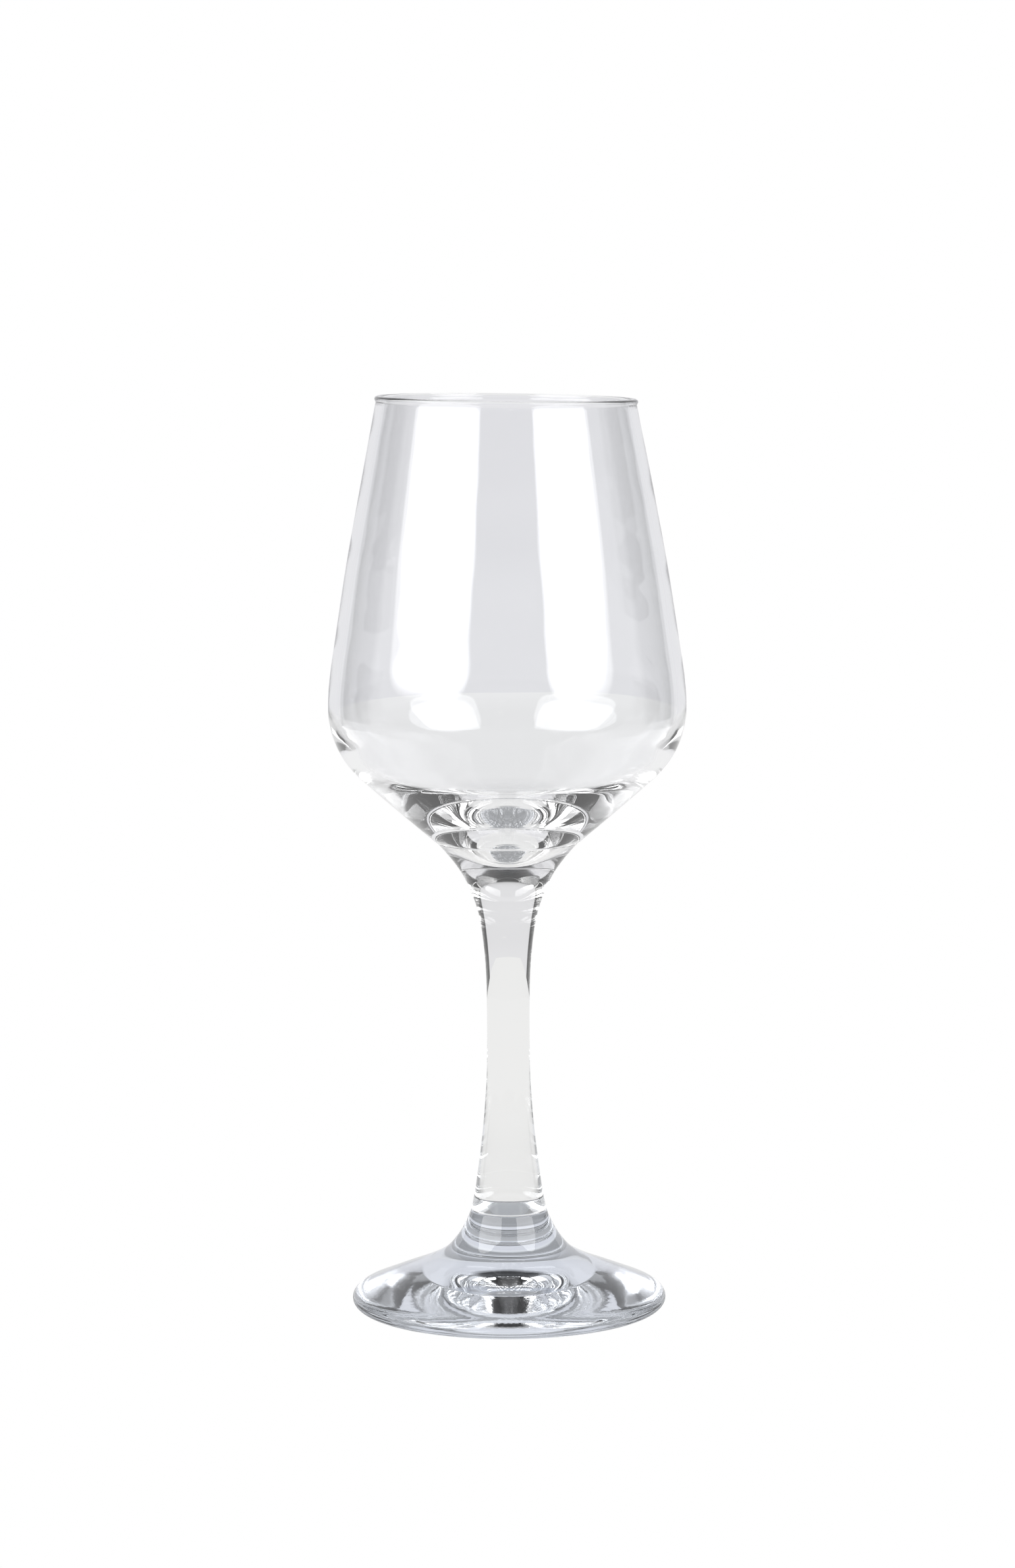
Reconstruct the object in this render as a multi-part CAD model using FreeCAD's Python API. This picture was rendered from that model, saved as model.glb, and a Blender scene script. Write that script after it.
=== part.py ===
import FreeCAD, Part

import math
import os

# A stemmed wine glass: a bowl with a solid base, a solid stem and a disc foot.
# Each is one solid of revolution, and the three are fused face to face.
# Millimetres, +Z up. The origin is on the axis, on the surface that the foot stands on.

# Driving dimensions.
total_height = 206.0
belly_radius = 40.1
foot_radius = 35.5
waist_radius = 4.8  # thinnest place of the stem

# Lip: a small fire-polished bead, a little proud of the wall.
lip_radius = 29.3
lip_thickness = 1.75
lip_depth = 0.65
lip_reach = 1.5

# Bowl heights, and the wall's thickness. It grows evenly from the lip down.
belly_height = 136.4
upper_wall_height = 174.0
upper_belly_height = 148.0
shoulder_height = 125.6
cone_top_height = 118.8
wall_at_lip = 1.5
wall_at_belly = 2.0
wall_at_cone = 3.0

# Inside the bowl's base: a straight cone, flatter than the outside one, with a rounded tip.
inner_cone_slope = 33.0
tip_radius = 5.0

# Joints: where the bowl's base meets the stem, and where the stem meets the foot.
# The bowl's base is a rounded cone, so the upper joint is dished.
upper_joint_radius = 16.1
upper_joint_height = 106.2
bowl_base_height = 99.6
lower_joint_radius = 8.5
lower_joint_height = 22.0

# Foot: a shallow cone round the hub. It stands on a narrow ring and is hollowed inside it.
# The hollow is a straight slope, and a domed middle that ends in a crease.
foot_edge_height = 2.0
rest_outer_radius = 33.2
rest_inner_radius = 31.8
middle_radius = 17.0
middle_edge_height = 1.6
hollow_depth = 4.2


def place(radius, height):
    return FreeCAD.Vector(radius, 0, height)


def curve(start, end):
    """A smooth edge between two stations, each (radius, height, heading in degrees).

    Heading 0 runs outwards and 90 runs up. The handle length makes equal turns true arcs.
    """
    first = place(start[0], start[1])
    last = place(end[0], end[1])
    turn = math.radians(abs(end[2] - start[2]))
    chord = (last - first).Length
    handle = chord / 3
    if turn > 0.001:
        handle = chord * 2 / 3 * math.tan(turn / 4) / math.sin(turn / 2)
    leave = place(math.cos(math.radians(start[2])), math.sin(math.radians(start[2])))
    arrive = place(math.cos(math.radians(end[2])), math.sin(math.radians(end[2])))
    edge = Part.BezierCurve()
    edge.setPoles([first, first + leave * handle, last - arrive * handle, last])
    return edge.toShape()


def outline(stations):
    return [curve(start, end) for start, end in zip(stations, stations[1:])]


def turned(edges):
    """Close the edges along the axis and turn them into one solid."""
    first = edges[0].Vertexes[0].Point
    last = edges[-1].Vertexes[-1].Point
    edges = edges + [Part.makeLine(last, first)]
    face = Part.Face(Part.Wire(edges))
    return face.revolve(FreeCAD.Vector(0, 0, 0), FreeCAD.Vector(0, 0, 1), 360)


def flat(radius_from, radius_to, height):
    return Part.makeLine(place(radius_from, height), place(radius_to, height))


def dish():
    """The joint between bowl and stem, from the axis outwards."""
    return outline([
        (0, bowl_base_height, 0),
        (3.5, bowl_base_height + 0.75, 24.5),
        (upper_joint_radius, upper_joint_height, 25),
    ])


def wall(height):
    """The wall's thickness at a height on the outside."""
    if height > belly_height:
        share = (total_height - height) / (total_height - belly_height)
        return wall_at_lip + (wall_at_belly - wall_at_lip) * share
    share = (belly_height - height) / (belly_height - cone_top_height)
    return wall_at_belly + (wall_at_cone - wall_at_belly) * share


def across_wall(station):
    """The inside station that faces an outside one. It heads back down."""
    radius, height, heading = station
    turn = math.radians(heading)
    inner_radius = radius - wall(height) * math.sin(turn)
    inner_height = height + wall(height) * math.cos(turn)
    return (inner_radius, inner_height, heading + 180)


def inner_base(cone_top):
    """The inside of the bowl's base, from the top of the cone to the tip on the axis."""
    radius, height, _ = across_wall(cone_top)
    slope = math.radians(inner_cone_slope)
    heading = 180 + inner_cone_slope
    tip_edge = height - (radius - tip_radius) * math.tan(slope)
    floor = tip_edge - tip_radius * math.tan(slope / 2)
    return [(radius, height, heading), (tip_radius, tip_edge, heading), (0, floor, 180)]


def bowl():
    lip_top = total_height - lip_depth
    wall_top = total_height - lip_reach
    outside = [
        (upper_joint_radius, upper_joint_height, 10),
        (17.2, 106.9, 41),
        (30.9, cone_top_height, 42),
        (37.1, shoulder_height, 60),
        (belly_radius, belly_height, 90),
        (39.0, upper_belly_height, 99),
        (34.8, upper_wall_height, 100.6),
        (29.05, wall_top, 100.6),
        (lip_radius, lip_top, 90),
    ]
    lip = [
        (lip_radius, lip_top, 90),
        (lip_radius - lip_thickness / 2, total_height, 180),
        (lip_radius - lip_thickness, lip_top, 270),
    ]
    shoulder_to_wall_top = outside[3:-1]
    inside = [(lip_radius - lip_thickness, lip_top, 270)]
    inside += [across_wall(station) for station in reversed(shoulder_to_wall_top)]
    inside += inner_base(outside[2])
    edges = dish() + outline(outside) + outline(lip) + outline(inside)
    return turned(edges)


def stem():
    outside = [
        (upper_joint_radius, upper_joint_height, 228),
        (9.4, 97.2, 244),
        (6.0, 86.5, 262),
        (5.05, 77.0, 267),
        (waist_radius, 60.0, 270),
        (5.5, 44.0, 275),
        (7.4, 28.0, 278),
        (lower_joint_radius, lower_joint_height, 281),
    ]
    edges = dish() + outline(outside)
    edges += [flat(lower_joint_radius, 0, lower_joint_height)]
    return turned(edges)


def foot():
    outside = [
        (rest_outer_radius, 0, 0),
        (foot_radius, foot_edge_height, 90),
        (33.0, 4.5, 158),
        (24.4, 8.0, 159),
        (14.8, 12.5, 147),
        (11.7, 15.8, 127),
        (lower_joint_radius, lower_joint_height, 112),
    ]
    dome_rise = hollow_depth - middle_edge_height
    dome_turn = 2 * math.degrees(math.atan2(dome_rise, middle_radius))
    middle = [
        (0, hollow_depth, 0),
        (middle_radius, middle_edge_height, -dome_turn),
    ]
    fall = math.degrees(math.atan2(-middle_edge_height, rest_inner_radius - middle_radius))
    slope = [
        (middle_radius, middle_edge_height, fall),
        (rest_inner_radius, 0, fall),
    ]
    edges = outline(middle) + outline(slope)
    edges += [flat(rest_inner_radius, rest_outer_radius, 0)]
    edges += outline(outside)
    edges += [flat(lower_joint_radius, 0, lower_joint_height)]
    return turned(edges)


def main():
    os.makedirs("parts", exist_ok=True)
    pieces = {"bowl": bowl(), "stem": stem(), "foot": foot()}
    for name, piece in pieces.items():
        piece.exportStep("parts/" + name + ".step")


main()
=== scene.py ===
import math

import bpy
import numpy as np
from mathutils import Matrix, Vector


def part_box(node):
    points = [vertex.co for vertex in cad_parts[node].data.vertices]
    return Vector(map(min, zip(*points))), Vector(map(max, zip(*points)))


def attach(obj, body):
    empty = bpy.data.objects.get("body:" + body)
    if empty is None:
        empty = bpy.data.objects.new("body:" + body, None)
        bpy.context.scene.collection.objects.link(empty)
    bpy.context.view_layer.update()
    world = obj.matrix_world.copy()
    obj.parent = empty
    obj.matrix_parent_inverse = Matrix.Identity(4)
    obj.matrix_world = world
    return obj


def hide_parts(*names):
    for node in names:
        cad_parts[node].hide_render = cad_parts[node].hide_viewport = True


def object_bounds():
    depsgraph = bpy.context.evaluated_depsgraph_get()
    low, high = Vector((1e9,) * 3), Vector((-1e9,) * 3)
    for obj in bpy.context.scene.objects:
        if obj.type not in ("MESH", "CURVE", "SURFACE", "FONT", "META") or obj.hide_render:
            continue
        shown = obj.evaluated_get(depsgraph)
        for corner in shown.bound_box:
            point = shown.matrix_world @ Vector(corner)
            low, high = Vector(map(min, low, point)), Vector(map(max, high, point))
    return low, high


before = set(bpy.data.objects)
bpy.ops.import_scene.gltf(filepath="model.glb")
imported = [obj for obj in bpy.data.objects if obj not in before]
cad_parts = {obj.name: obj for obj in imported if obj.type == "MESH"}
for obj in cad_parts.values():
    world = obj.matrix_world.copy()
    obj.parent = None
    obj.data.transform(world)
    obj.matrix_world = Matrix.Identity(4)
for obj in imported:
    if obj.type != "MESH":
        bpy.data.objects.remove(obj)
cad_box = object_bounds()

MM = 0.001

# Sizes in millimetres. The first group is read off the frame.
TOTAL_HEIGHT = cad_box[1].z / MM
BELLY_RADIUS = cad_box[1].x / MM
FOOT_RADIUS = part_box("foot")[1].x / MM
UPPER_JOINT_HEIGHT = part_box("stem")[1].z / MM
UPPER_JOINT_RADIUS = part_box("stem")[1].x / MM
LOWER_JOINT_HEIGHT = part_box("stem")[0].z / MM
BOWL_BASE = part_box("bowl")[0].z / MM

LOWER_JOINT_RADIUS = 8.5
WAIST_RADIUS = 4.8
LIP_RADIUS = 29.3
LIP_THICKNESS = 1.75
LIP_DEPTH = 0.65
LIP_REACH = 1.5
LIP_TOP = TOTAL_HEIGHT - LIP_DEPTH
WALL_TOP = TOTAL_HEIGHT - LIP_REACH
UPPER_WALL_HEIGHT = 174.0
UPPER_BELLY_HEIGHT = 148.0
BELLY_HEIGHT = 136.4
SHOULDER_HEIGHT = 125.6
CONE_TOP_HEIGHT = 118.8
FOOT_EDGE_HEIGHT = 2.0
REST_OUTER = 33.2
REST_INNER = 31.8

# The bowl's wall grows evenly from the lip down. Inside its base is a straight cone with a rounded tip.
WALL_AT_LIP = 1.5
WALL_AT_BELLY = 2.0
WALL_AT_CONE = 3.0
INNER_CONE_SLOPE = 33.0
TIP_RADIUS = 5.0

# Underside of the foot: a rippled dome that ends in a crease, and a straight slope out to the ring.
MIDDLE_RADIUS = 17.0
MIDDLE_EDGE = 1.6
HOLLOW_DEPTH = 4.2

# Marks of hand and machine, in millimetres, and directions in degrees round the axis from +X.
RIM_DIP = 0.96
RIM_LOW_SIDE = 18
INNER_WAVE = 0.03
INNER_WAVE_LENGTHS = (9, 16)
INNER_WAVE_TURN = 8  # radius of the circle that the wave pattern follows in one turn
UNDERSIDE_RIPPLE = 0.03
UNDERSIDE_LENGTHS = (5.8, 7.8, 11.6, 17.5)
FINE_RIPPLE = 0.012
SEAM_RIDGE = 0.03
SEAM_HALF_WIDTH = 0.16
SEAMS = (-75.5, 104.5)

# Heights between which those marks grow from nothing to full.
WAVE_FROM_BASE = (128, 145)
WAVE_FROM_LIP = (TOTAL_HEIGHT - 1, TOTAL_HEIGHT - 8)
DIP_BELOW_RIM = (TOTAL_HEIGHT - 20, TOTAL_HEIGHT - 1)
SEAM_FROM_FOOT = (27, 34)
SEAM_FROM_BOWL = (98, 90)
WEAR_BELOW_CREASE = (MIDDLE_EDGE, MIDDLE_EDGE - 0.1)

# Added roughness of the worn underside.
SCUFF = 0.06

# Fineness of the meshes: points round a ring, and millimetres between rings.
AROUND = 256
FINE_STEP = 0.4
BOWL_STEP = 0.8
MIDDLE_STEP = 0.3
BEAD_STEP = 0.1
FEWEST_SPANS = 6


def curve(start, end, step):
    """Points on the smooth edge between two stations, each (radius, height, heading in degrees)."""
    first = np.array(start[:2], float)
    last = np.array(end[:2], float)
    turn = math.radians(abs(end[2] - start[2]))
    chord = np.linalg.norm(last - first)
    handle = chord / 3
    if turn > 0.001:
        handle = chord * 2 / 3 * math.tan(turn / 4) / math.sin(turn / 2)
    leave = np.array([math.cos(math.radians(start[2])), math.sin(math.radians(start[2]))])
    arrive = np.array([math.cos(math.radians(end[2])), math.sin(math.radians(end[2]))])
    near = first + leave * handle
    far = last - arrive * handle
    count = max(FEWEST_SPANS, round(chord / step))
    t = np.linspace(0, 1, count + 1)[:, None]
    return (1 - t) ** 3 * first + 3 * (1 - t) ** 2 * t * near + 3 * (1 - t) * t**2 * far + t**3 * last


def outline(stations, step=FINE_STEP):
    points = [curve(a, b, step) for a, b in zip(stations, stations[1:])]
    return np.vstack([points[0]] + [p[1:] for p in points[1:]])


def turned(points):
    """Sweeps an outline of (radius, height) round the axis. The result is (ring, around, xyz).

    Points on the axis are left out, because build closes each end with one point.
    """
    angle = np.linspace(0, 2 * math.pi, AROUND, endpoint=False)
    points = np.array([p for p in points if p[0] > 1e-6])
    radius = points[:, 0][:, None]
    height = np.repeat(points[:, 1][:, None], AROUND, axis=1)
    return np.stack([radius * np.cos(angle), radius * np.sin(angle), height], axis=2)


def ease(value, start, end):
    """0 at start, 1 at end, smooth between."""
    t = np.clip((value - start) / (end - start), 0, 1)
    return t * t * (3 - 2 * t)


def waves(x, y, lengths, seed, each=10):
    """Smooth noise, about -1 to 1: a few plane waves of each wavelength in random directions."""
    random = np.random.default_rng(seed)
    total = np.zeros(np.broadcast(x, y).shape)
    weight = 0
    for length in lengths:
        for _ in range(each):
            turn, phase = random.random(2) * 2 * math.pi
            k = 2 * math.pi / length
            total += length * np.sin(k * (math.cos(turn) * x + math.sin(turn) * y) + phase)
        weight += length * length * each
    return total / math.sqrt(weight)


def build(name, rings, glass, fused, start, end):
    """A closed mesh from rings in millimetres, from the underside out and up the outside.

    start and end are each (height of the closing point on the axis, whether that end is a joint where
    this piece is fused to its neighbour, how many strips between rings belong to the joint).
    """
    count, around = rings.shape[:2]
    points = (rings.reshape(-1, 3) * MM).tolist()
    index = np.arange(count * around).reshape(count, around)
    below = index[:-1]
    above = index[1:]
    faces = np.stack([below, np.roll(below, -1, 1), np.roll(above, -1, 1), above], axis=2)
    face_list = faces.reshape(-1, 4).tolist()
    slots = []
    for ring in range(count - 1):
        in_joint = ring < start[2] or ring >= count - 1 - end[2]
        slots += [1 if in_joint else 0] * around
    ends = ((index[0], start, True), (index[-1], end, False))
    for ring, (tip, joint, _), at_start in ends:
        centre = len(points)
        points.append([0, 0, tip * MM])
        for i in range(around):
            j = (i + 1) % around
            corner = [int(ring[i]), int(ring[j]), centre]
            face_list.append(corner[::-1] if at_start else corner)
            slots.append(1 if joint else 0)
    mesh = bpy.data.meshes.new(name)
    mesh.from_pydata(points, [], face_list)
    mesh.materials.append(glass)
    mesh.materials.append(fused)
    mesh.polygons.foreach_set("material_index", slots)
    mesh.polygons.foreach_set("use_smooth", [True] * len(face_list))
    mesh.validate()
    mesh.update()
    piece = bpy.data.objects.new(name, mesh)
    bpy.context.scene.collection.objects.link(piece)
    return piece


def maths(tree, operation, a, b=None, c=None):
    node = tree.nodes.new("ShaderNodeMath")
    node.operation = operation
    for socket, value in zip(node.inputs, (a, b, c)):
        if value is None:
            continue
        if isinstance(value, (int, float)):
            socket.default_value = value
        else:
            tree.links.new(value, socket)
    return node.outputs[0]


def ramp(tree, value, from_min, from_max, to_min, to_max, smooth=False):
    node = tree.nodes.new("ShaderNodeMapRange")
    if smooth:
        node.interpolation_type = "SMOOTHSTEP"
    tree.links.new(value, node.inputs["Value"])
    node.inputs["From Min"].default_value = from_min
    node.inputs["From Max"].default_value = from_max
    node.inputs["To Min"].default_value = to_min
    node.inputs["To Max"].default_value = to_max
    return node.outputs[0]


GLASS_IOR = 1.52
CORD_STRETCH = 0.35  # cords are drawn out along the axis
CORD_RANGE = (0.35, 0.65)  # noise between which the tint turns into the streak's
FILM_RANGE = (0.55, 0.8)  # noise between which the film turns from none to full
RIPPLE_SCALE = 700  # of the fine ripple, in noise cells to the metre


def glass_material(name, tint, streak, haze, scale):
    """Clear soda-lime glass. Faint cords tint it and a thin film of handling hazes it here and there."""
    mat = bpy.data.materials.new(name)
    mat.use_nodes = True
    tree = mat.node_tree
    bsdf = tree.nodes["Principled BSDF"]
    bsdf.inputs["IOR"].default_value = GLASS_IOR
    bsdf.inputs["Transmission Weight"].default_value = 1.0
    place = tree.nodes.new("ShaderNodeTexCoord")
    stretch = tree.nodes.new("ShaderNodeMapping")
    stretch.inputs["Scale"].default_value = (1, 1, CORD_STRETCH)
    tree.links.new(place.outputs["Object"], stretch.inputs["Vector"])
    cords = tree.nodes.new("ShaderNodeTexNoise")
    cords.inputs["Scale"].default_value = scale
    cords.inputs["Detail"].default_value = 3
    tree.links.new(stretch.outputs[0], cords.inputs["Vector"])
    colour = tree.nodes.new("ShaderNodeMix")
    colour.data_type = "RGBA"
    tree.links.new(ramp(tree, cords.outputs["Fac"], *CORD_RANGE, 0, 1), colour.inputs["Factor"])
    colour.inputs["A"].default_value = (*tint, 1)
    colour.inputs["B"].default_value = (*streak, 1)
    tree.links.new(colour.outputs["Result"], bsdf.inputs["Base Color"])
    film = tree.nodes.new("ShaderNodeTexNoise")
    film.inputs["Scale"].default_value = scale * 3
    film.inputs["Detail"].default_value = 6
    tree.links.new(place.outputs["Object"], film.inputs["Vector"])
    hazy = ramp(tree, film.outputs["Fac"], *FILM_RANGE, 0, haze, True)
    tree.links.new(hazy, bsdf.inputs["Roughness"])
    return mat


def wear_underside(mat):
    """The foot is scuffed and finely rippled below the height of its crease."""
    tree = mat.node_tree
    bsdf = tree.nodes["Principled BSDF"]
    place = tree.nodes.new("ShaderNodeTexCoord")
    split = tree.nodes.new("ShaderNodeSeparateXYZ")
    tree.links.new(place.outputs["Object"], split.inputs[0])
    wear_from, wear_full = (height * MM for height in WEAR_BELOW_CREASE)
    low = ramp(tree, split.outputs["Z"], wear_from, wear_full, 0, 1)
    hazy = bsdf.inputs["Roughness"].links[0].from_socket
    tree.links.new(maths(tree, "MULTIPLY_ADD", low, SCUFF, hazy), bsdf.inputs["Roughness"])
    ripple = tree.nodes.new("ShaderNodeTexNoise")
    ripple.inputs["Scale"].default_value = RIPPLE_SCALE
    ripple.inputs["Detail"].default_value = 2
    tree.links.new(place.outputs["Object"], ripple.inputs["Vector"])
    bump = tree.nodes.new("ShaderNodeBump")
    bump.inputs["Strength"].default_value = 1.0
    bump.inputs["Distance"].default_value = FINE_RIPPLE * MM
    tree.links.new(maths(tree, "MULTIPLY", ripple.outputs["Fac"], low), bump.inputs["Height"])
    tree.links.new(bump.outputs["Normal"], bsdf.inputs["Normal"])


def fused_material(name):
    """Where two pieces are fused there is no surface to see, so this one is fully clear."""
    mat = bpy.data.materials.new(name)
    mat.use_nodes = True
    bsdf = mat.node_tree.nodes["Principled BSDF"]
    bsdf.inputs["Alpha"].default_value = 0.0
    return mat


# Outlines
joint_dish = [
    (0, BOWL_BASE, 0),
    (3.5, BOWL_BASE + 0.75, 24.5),
    (UPPER_JOINT_RADIUS, UPPER_JOINT_HEIGHT, 25),
]
bowl_outside = [
    (UPPER_JOINT_RADIUS, UPPER_JOINT_HEIGHT, 10),
    (17.2, 106.9, 41),
    (30.9, CONE_TOP_HEIGHT, 42),
    (37.1, SHOULDER_HEIGHT, 60),
    (BELLY_RADIUS, BELLY_HEIGHT, 90),
    (39.0, UPPER_BELLY_HEIGHT, 99),
    (34.8, UPPER_WALL_HEIGHT, 100.6),
    (29.05, WALL_TOP, 100.6),
    (LIP_RADIUS, LIP_TOP, 90),
]
lip = [
    (LIP_RADIUS, LIP_TOP, 90),
    (LIP_RADIUS - LIP_THICKNESS / 2, TOTAL_HEIGHT, 180),
    (LIP_RADIUS - LIP_THICKNESS, LIP_TOP, 270),
]


def wall(height):
    """The wall's thickness at a height on the outside."""
    if height > BELLY_HEIGHT:
        share = (TOTAL_HEIGHT - height) / (TOTAL_HEIGHT - BELLY_HEIGHT)
        return WALL_AT_LIP + (WALL_AT_BELLY - WALL_AT_LIP) * share
    share = (BELLY_HEIGHT - height) / (BELLY_HEIGHT - CONE_TOP_HEIGHT)
    return WALL_AT_BELLY + (WALL_AT_CONE - WALL_AT_BELLY) * share


def across_wall(station):
    """The inside station that faces an outside one. It heads back down."""
    radius, height, heading = station
    turn = math.radians(heading)
    inner_radius = radius - wall(height) * math.sin(turn)
    inner_height = height + wall(height) * math.cos(turn)
    return (inner_radius, inner_height, heading + 180)


def inner_base(cone_top):
    """The inside of the bowl's base, from the top of the cone to the tip on the axis."""
    radius, height, _ = across_wall(cone_top)
    slope = math.radians(INNER_CONE_SLOPE)
    heading = 180 + INNER_CONE_SLOPE
    tip_edge = height - (radius - TIP_RADIUS) * math.tan(slope)
    floor_height = tip_edge - TIP_RADIUS * math.tan(slope / 2)
    return [(radius, height, heading), (TIP_RADIUS, tip_edge, heading), (0, floor_height, 180)]


shoulder_to_wall_top = bowl_outside[3:-1]
bowl_inside = [(LIP_RADIUS - LIP_THICKNESS, LIP_TOP, 270)]
bowl_inside += [across_wall(station) for station in reversed(shoulder_to_wall_top)]
bowl_inside += inner_base(bowl_outside[2])
bowl_floor = bowl_inside[-1][1]
stem_outside = [
    (LOWER_JOINT_RADIUS, LOWER_JOINT_HEIGHT, 101),
    (7.4, 28.0, 98),
    (5.5, 44.0, 95),
    (WAIST_RADIUS, 60.0, 90),
    (5.05, 77.0, 87),
    (6.0, 86.5, 82),
    (9.4, 97.2, 64),
    (UPPER_JOINT_RADIUS, UPPER_JOINT_HEIGHT, 48),
]
dome_turn = 2 * math.degrees(math.atan2(HOLLOW_DEPTH - MIDDLE_EDGE, MIDDLE_RADIUS))
fall = math.degrees(math.atan2(-MIDDLE_EDGE, REST_INNER - MIDDLE_RADIUS))
foot_middle = [
    (0, HOLLOW_DEPTH, 0),
    (MIDDLE_RADIUS, MIDDLE_EDGE, -dome_turn),
]
foot_slope = [
    (MIDDLE_RADIUS, MIDDLE_EDGE, fall),
    (REST_INNER, 0, fall),
]
foot_outside = [
    (REST_OUTER, 0, 0),
    (FOOT_RADIUS, FOOT_EDGE_HEIGHT, 90),
    (33.0, 4.5, 158),
    (24.4, 8.0, 159),
    (14.8, 12.5, 147),
    (11.7, 15.8, 127),
    (LOWER_JOINT_RADIUS, LOWER_JOINT_HEIGHT, 112),
]


def bowl_rings():
    """The bowl's rings, and how many strips between them belong to the joint with the stem."""
    dish = outline(joint_dish, BOWL_STEP)
    outer = outline(bowl_outside, BOWL_STEP)
    bead = outline(lip, BEAD_STEP)
    inner = outline(bowl_inside, BOWL_STEP)
    rings = turned(np.vstack([dish, outer[1:], bead[1:], inner[1:]]))
    around = np.arctan2(rings[..., 1], rings[..., 0])
    radius = np.hypot(rings[..., 0], rings[..., 1])
    # Slow waves in the inner wall, as pressed and blown glass has, fading out at the base and the lip.
    first_inner = len(dish) + len(outer) + len(bead) - 3
    inside = np.zeros(rings.shape[:2])
    inside[first_inner:] = 1
    inside *= ease(rings[..., 2], *WAVE_FROM_BASE) * ease(rings[..., 2], *WAVE_FROM_LIP)
    across = INNER_WAVE_TURN * np.cos(around)
    upward = INNER_WAVE_TURN * np.sin(around) + rings[..., 2]
    wave = waves(across, upward, INNER_WAVE_LENGTHS, seed=4)
    shift = 1 + INNER_WAVE * wave * inside / np.maximum(radius, 1)
    rings[..., 0] *= shift
    rings[..., 1] *= shift
    # The rim isn't quite level.
    low = (1 + np.cos(around - math.radians(RIM_LOW_SIDE))) / 2
    rings[..., 2] -= RIM_DIP * low * ease(rings[..., 2], *DIP_BELOW_RIM)
    return rings, len(dish) - 2


def stem_rings():
    """The stem's rings, and how many strips between them belong to the joint with the bowl."""
    outer = outline(stem_outside)
    dish = outline(joint_dish, BOWL_STEP)[::-1]
    rings = turned(np.vstack([outer, dish[1:]]))
    around = np.arctan2(rings[..., 1], rings[..., 0])
    height = rings[..., 2]
    # Two mould seams, opposite each other, that fade out at both ends of the stem.
    along = ease(height, *SEAM_FROM_FOOT) * ease(height, *SEAM_FROM_BOWL)
    along[len(outer):] = 0
    radius = np.hypot(rings[..., 0], rings[..., 1])
    for seam in SEAMS:
        off = np.angle(np.exp(1j * (around - math.radians(seam)))) * radius
        grow = SEAM_RIDGE * np.exp(-(off / SEAM_HALF_WIDTH) ** 2) * along / radius
        rings[..., 0] *= 1 + grow
        rings[..., 1] *= 1 + grow
    return rings, len(dish) - 2


def foot_rings():
    middle = outline(foot_middle, MIDDLE_STEP)
    slope = outline(foot_slope)
    outer = outline(foot_outside)
    rings = turned(np.vstack([middle, slope[1:], outer]))
    radius = np.hypot(rings[..., 0], rings[..., 1])
    # The underside is rippled inside its crease.
    under = np.zeros(rings.shape[:2])
    under[: len(middle)] = 1
    under *= ease(radius, MIDDLE_RADIUS, MIDDLE_RADIUS - 1)
    ripple = waves(rings[..., 0], rings[..., 1], UNDERSIDE_LENGTHS, seed=5)
    rings[..., 2] += UNDERSIDE_RIPPLE * ripple * under
    return rings


clear_bowl = glass_material(
    "clear_bowl_glass",
    tint=(0.99, 0.992, 1.0),
    streak=(0.975, 0.98, 0.985),
    haze=0.004,
    scale=18,
)
clear_stem = glass_material(
    "clear_stem_glass",
    tint=(0.965, 0.965, 0.96),
    streak=(0.95, 0.95, 0.94),
    haze=0.003,
    scale=30,
)
# The foot's tint, darker and bluer than the bowl's, is partly the glass's own tint and partly painted
# shade, darkening the foot as the shade on the floor under it would.
clear_foot = glass_material(
    "clear_foot_glass",
    tint=(0.89, 0.93, 0.99),
    streak=(0.86, 0.9, 0.97),
    haze=0.004,
    scale=30,
)
wear_underside(clear_foot)
fused = fused_material("fused_joint")

rings, joint = bowl_rings()
bowl = build(
    "wine_bowl",
    rings,
    clear_bowl,
    fused,
    start=(BOWL_BASE, True, joint),
    end=(bowl_floor, False, 0),
)
rings, joint = stem_rings()
stem = build(
    "wine_stem",
    rings,
    clear_stem,
    fused,
    start=(LOWER_JOINT_HEIGHT, True, 0),
    end=(BOWL_BASE, True, joint),
)
foot = build(
    "wine_foot",
    foot_rings(),
    clear_foot,
    fused,
    start=(HOLLOW_DEPTH, False, 0),
    end=(LOWER_JOINT_HEIGHT, True, 0),
)

for piece, node in ((bowl, "bowl"), (stem, "stem"), (foot, "foot")):
    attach(piece, "root")
    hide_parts(node)


# Camera: places in metres, lens and sensor in millimetres.
CAMERA_DISTANCE = 1.018
CAMERA_HEIGHT = 0.2433
PITCH = math.radians(6.96)
ROLL = math.radians(-0.19)
LENS = 105.0
SENSOR = 36.0


def add_camera():
    data = bpy.data.cameras.new("camera")
    data.sensor_width = SENSOR
    data.lens = LENS
    camera = bpy.data.objects.new("camera", data)
    bpy.context.scene.collection.objects.link(camera)
    camera.location = (0, -CAMERA_DISTANCE, CAMERA_HEIGHT)
    aim = Matrix.Rotation(math.pi / 2 - PITCH, 4, "X") @ Matrix.Rotation(ROLL, 4, "Z")
    camera.rotation_euler = aim.to_euler()
    bpy.context.scene.camera = camera


# Studio. The camera sees plain white all round. The glass sees a lit backdrop, a dark flag on each
# side of it, pale low walls on the other sides, a dim room above them, two softboxes and a small lamp.
# Levels of light are linear, and angles are in degrees: round from the backdrop's middle, or up.
BACKDROP = 0.8
BACKDROP_TINT = (1.0, 1.0, 1.025)
BACKDROP_HALF_ANGLE = 45
BACKDROP_TOP = 45
FLAG_END = 80
WALLS = 0.65
WALLS_TOP = 15
ROOM = 0.05
TOP_FADE = 5
SIDE_FADE = 0.03  # in radians


def faded_top(angle):
    """Where an edge that runs round the room starts and ends its fade, as heights on a unit sphere."""
    return [math.sin(math.radians(angle + fade)) for fade in (-TOP_FADE, TOP_FADE)]


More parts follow.
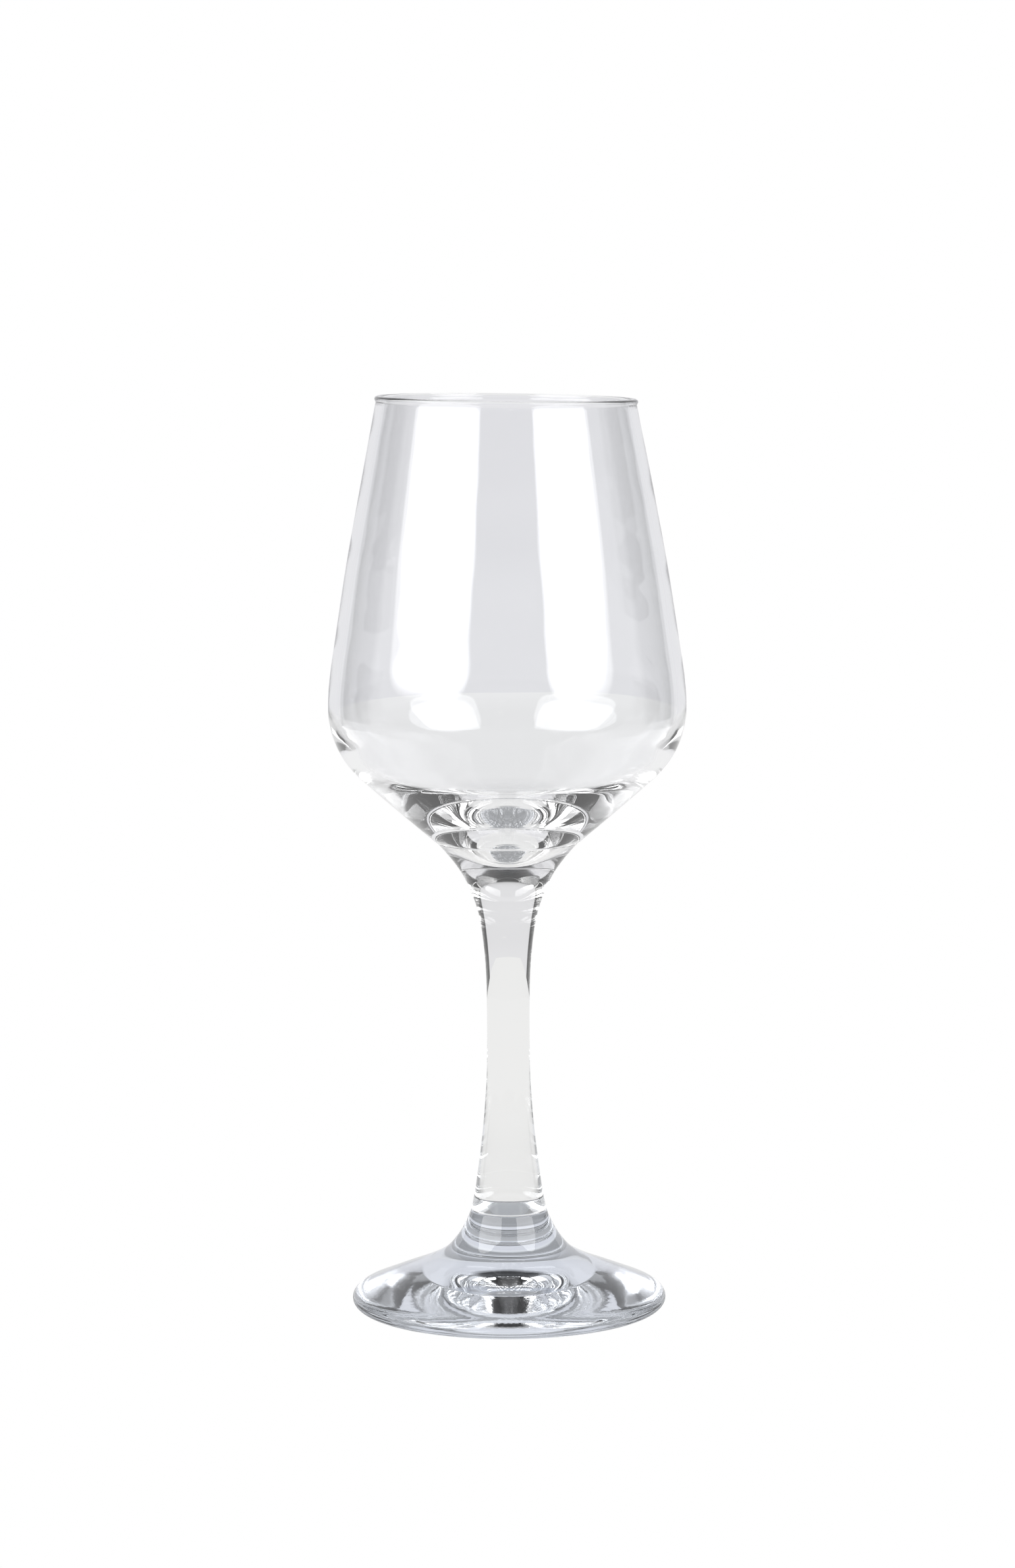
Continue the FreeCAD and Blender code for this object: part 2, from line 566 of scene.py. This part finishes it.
def studio_world():
    world = bpy.data.worlds.new("studio")
    bpy.context.scene.world = world
    world.use_nodes = True
    tree = world.node_tree
    tree.nodes.clear()
    output = tree.nodes.new("ShaderNodeOutputWorld")
    shown = tree.nodes.new("ShaderNodeBackground")
    shown.inputs["Color"].default_value = (1, 1, 1, 1)
    mirrored = tree.nodes.new("ShaderNodeBackground")
    mix = tree.nodes.new("ShaderNodeMixShader")
    path = tree.nodes.new("ShaderNodeLightPath")
    place = tree.nodes.new("ShaderNodeTexCoord")
    split = tree.nodes.new("ShaderNodeSeparateXYZ")
    tree.links.new(place.outputs["Generated"], split.inputs[0])
    x, y, z = split.outputs
    side = maths(tree, "ARCTAN2", maths(tree, "ABSOLUTE", x), y)
    edge = math.radians(BACKDROP_HALF_ANGLE)
    behind = ramp(tree, side, edge + SIDE_FADE, edge - SIDE_FADE, 0, 1, True)
    back = ramp(tree, z, *faded_top(BACKDROP_TOP), BACKDROP, ROOM)
    grey = tree.nodes.new("ShaderNodeCombineColor")
    for channel, share in zip(("Red", "Green", "Blue"), BACKDROP_TINT):
        tree.links.new(maths(tree, "MULTIPLY", back, share), grey.inputs[channel])
    walls = ramp(tree, z, *faded_top(WALLS_TOP), WALLS - ROOM, 0)
    flag_end = math.radians(FLAG_END)
    past_flag = ramp(tree, side, flag_end - SIDE_FADE, flag_end + SIDE_FADE, 0, 1, True)
    room = maths(tree, "ADD", maths(tree, "MULTIPLY", walls, past_flag), ROOM)
    level = tree.nodes.new("ShaderNodeMix")
    level.data_type = "RGBA"
    tree.links.new(behind, level.inputs["Factor"])
    tree.links.new(room, level.inputs["A"])
    tree.links.new(grey.outputs[0], level.inputs["B"])
    tree.links.new(level.outputs["Result"], mirrored.inputs["Color"])
    tree.links.new(path.outputs["Is Camera Ray"], mix.inputs[0])
    tree.links.new(mirrored.outputs[0], mix.inputs[1])
    tree.links.new(shown.outputs[0], mix.inputs[2])
    tree.links.new(mix.outputs[0], output.inputs[0])


# Floor: two levels of light, the lower one a painted shadow under the foot, and sizes in metres.
FLOOR_LIGHT = 0.88
FLOOR_SHADE = 0.4  # under the foot
SHADE_FADE = 0.02
FLOOR_HALF = 0.5
FLOOR_FRONT = -0.6
FLOOR_BACK = 1.19
FLOOR_GAP = 0.0002  # keeps the floor clear of the foot


def add_floor():
    mesh = bpy.data.meshes.new("floor")
    corners = [
        (-FLOOR_HALF, FLOOR_FRONT, 0),
        (FLOOR_HALF, FLOOR_FRONT, 0),
        (FLOOR_HALF, FLOOR_BACK, 0),
        (-FLOOR_HALF, FLOOR_BACK, 0),
    ]
    mesh.from_pydata(corners, [], [(0, 1, 2, 3)])
    mat = bpy.data.materials.new("floor_white")
    mat.use_nodes = True
    tree = mat.node_tree
    tree.nodes.clear()
    output = tree.nodes.new("ShaderNodeOutputMaterial")
    shown = tree.nodes.new("ShaderNodeEmission")
    seen = tree.nodes.new("ShaderNodeEmission")
    # Painted shadow: as the glass sees it, the floor glows dimmer under the foot and brightens to full
    # over SHADE_FADE past the foot's edge.
    place = tree.nodes.new("ShaderNodeNewGeometry")
    away = tree.nodes.new("ShaderNodeVectorMath")
    away.operation = "LENGTH"
    tree.links.new(place.outputs["Position"], away.inputs[0])
    foot_edge = FOOT_RADIUS * MM
    shade_end = foot_edge + SHADE_FADE
    lit = ramp(tree, away.outputs["Value"], foot_edge, shade_end, FLOOR_SHADE, FLOOR_LIGHT)
    tree.links.new(lit, seen.inputs["Strength"])
    mix = tree.nodes.new("ShaderNodeMixShader")
    path = tree.nodes.new("ShaderNodeLightPath")
    tree.links.new(path.outputs["Is Camera Ray"], mix.inputs[0])
    tree.links.new(seen.outputs[0], mix.inputs[1])
    tree.links.new(shown.outputs[0], mix.inputs[2])
    tree.links.new(mix.outputs[0], output.inputs[0])
    mesh.materials.append(mat)
    plane = bpy.data.objects.new("floor", mesh)
    bpy.context.scene.collection.objects.link(plane)
    plane.location.z = -FLOOR_GAP


# A softbox is lit where |x| ** n + |y| ** n is under 1, and fades from a little inside that.
SOFTBOX_ROUNDING = 4.0
SOFTBOX_FADE = 0.72


def softbox(name, azimuth, away, low, high, width, strength):
    """A soft light with rounded corners, in metres. Azimuth is from the front, positive to the right."""
    data = bpy.data.lights.new(name, "AREA")
    data.shape = "RECTANGLE"
    data.size = width
    data.size_y = high - low
    data.energy = strength * math.pi * width * (high - low)
    data.use_nodes = True
    tree = data.node_tree
    place = tree.nodes.new("ShaderNodeNewGeometry")
    split = tree.nodes.new("ShaderNodeSeparateXYZ")
    tree.links.new(place.outputs["Parametric"], split.inputs[0])
    terms = []
    for axis in (split.outputs["X"], split.outputs["Y"]):
        off_centre = maths(tree, "MULTIPLY_ADD", axis, 2.0, -1.0)
        terms.append(maths(tree, "POWER", maths(tree, "ABSOLUTE", off_centre), SOFTBOX_ROUNDING))
    lit = ramp(tree, maths(tree, "ADD", *terms), 1.0, SOFTBOX_FADE, 0, 1, True)
    tree.links.new(lit, tree.nodes["Emission"].inputs["Strength"])
    lamp = bpy.data.objects.new(name, data)
    bpy.context.scene.collection.objects.link(lamp)
    turn = math.radians(azimuth)
    lamp.location = (math.sin(turn) * away, -math.cos(turn) * away, (low + high) / 2)
    lamp.rotation_euler = (math.pi / 2, 0, turn)
    lamp.visible_camera = False
    return lamp


add_camera()
studio_world()
add_floor()
softbox("softbox_left", azimuth=-55, away=1.3, low=0.2, high=2.0, width=1.7, strength=3.5)
softbox("softbox_right", azimuth=50, away=1.3, low=0.2, high=2.0, width=1.35, strength=3.5)
room_lamp = softbox("room_lamp", azimuth=5.0, away=3.0, low=1.25, high=1.35, width=0.2, strength=1.6)
room_lamp.data.color = (1.0, 0.95, 0.82)

# Light crosses many surfaces in solid glass, so it needs many bounces.
BOUNCES = 40
scene = bpy.context.scene
scene.view_settings.view_transform = "Standard"
scene.cycles.max_bounces = BOUNCES
scene.cycles.transmission_bounces = BOUNCES
scene.cycles.glossy_bounces = BOUNCES
scene.cycles.transparent_max_bounces = BOUNCES
scene.cycles.blur_glossy = 0.0
